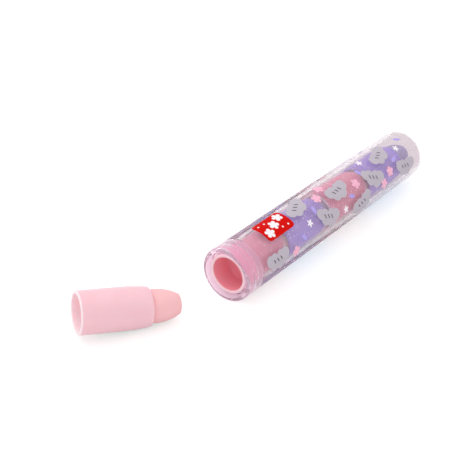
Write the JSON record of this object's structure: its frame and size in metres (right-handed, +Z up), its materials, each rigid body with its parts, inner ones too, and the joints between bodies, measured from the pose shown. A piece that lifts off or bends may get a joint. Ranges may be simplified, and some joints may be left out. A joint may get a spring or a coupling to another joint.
{
  "type": "stackable eraser",
  "caption": "Clear tube holding a nested stack of bullet-nosed erasers in cups under a long pull-off cap, with a spare eraser cartridge lying behind its open rear end.",
  "frame": {"origin": "on the table, under the middle of the whole set's box", "axes": "+X along the tube towards the closed front of the cap, +Z up from the table that the tube and the loose cartridge lie on"},
  "size_m": [0.1516, 0.0366, 0.018],
  "materials": {
    "clear_barrel": "clear glossy moulded plastic",
    "clear_collar": "clear glossy moulded plastic with fine glitter",
    "clear_cap": "clear glossy moulded plastic with fine glitter and a printed pattern",
    "pink_cup": "satin moulded plastic",
    "lilac_cup": "satin moulded plastic",
    "pink_eraser": "matt vinyl eraser",
    "lilac_eraser": "matt vinyl eraser"
  },
  "bodies": {
    "barrel": {"barrel": "clear_barrel", "rear_collar": "clear_collar"},
    "cap": {"cap_sleeve": "clear_cap"},
    "cartridge_1": {"cup_1": "pink_cup", "eraser_1": "pink_eraser"},
    "cartridge_2": {"cup_2": "lilac_cup", "eraser_2": "lilac_eraser"},
    "cartridge_3": {"cup_3": "pink_cup", "eraser_3": "pink_eraser"},
    "cartridge_4": {"cup_4": "lilac_cup", "eraser_4": "lilac_eraser"},
    "loose_cartridge": {"loose_cup": "pink_cup", "loose_eraser": "pink_eraser"}
  },
  "joints": [
    {"name": "cap_slide", "type": "slide", "parent": "barrel", "child": "cap", "axis": [1, 0, 0], "range_m": [0, 0.1]},
    {"name": "stack_slide_1", "type": "slide", "parent": "barrel", "child": "cartridge_1", "axis": [1, 0, 0], "range_m": [-0.013, 0.0004]},
    {"name": "stack_slide_2", "type": "slide", "parent": "barrel", "child": "cartridge_2", "axis": [1, 0, 0], "range_m": [-0.013, 0.0004]},
    {"name": "stack_slide_3", "type": "slide", "parent": "barrel", "child": "cartridge_3", "axis": [1, 0, 0], "range_m": [-0.013, 0.0004]},
    {"name": "stack_slide_4", "type": "slide", "parent": "barrel", "child": "cartridge_4", "axis": [1, 0, 0], "range_m": [-0.013, 0.0004]},
    {"name": "loose_slide", "type": "slide", "parent": "barrel", "child": "loose_cartridge", "axis": [-0.849, 0.5284, 0], "range_m": [0, 0.04]}
  ],
  "couplings": [
    {"joint": "stack_slide_2", "follows": "stack_slide_1", "ratio": 1},
    {"joint": "stack_slide_3", "follows": "stack_slide_1", "ratio": 1},
    {"joint": "stack_slide_4", "follows": "stack_slide_1", "ratio": 1}
  ]
}
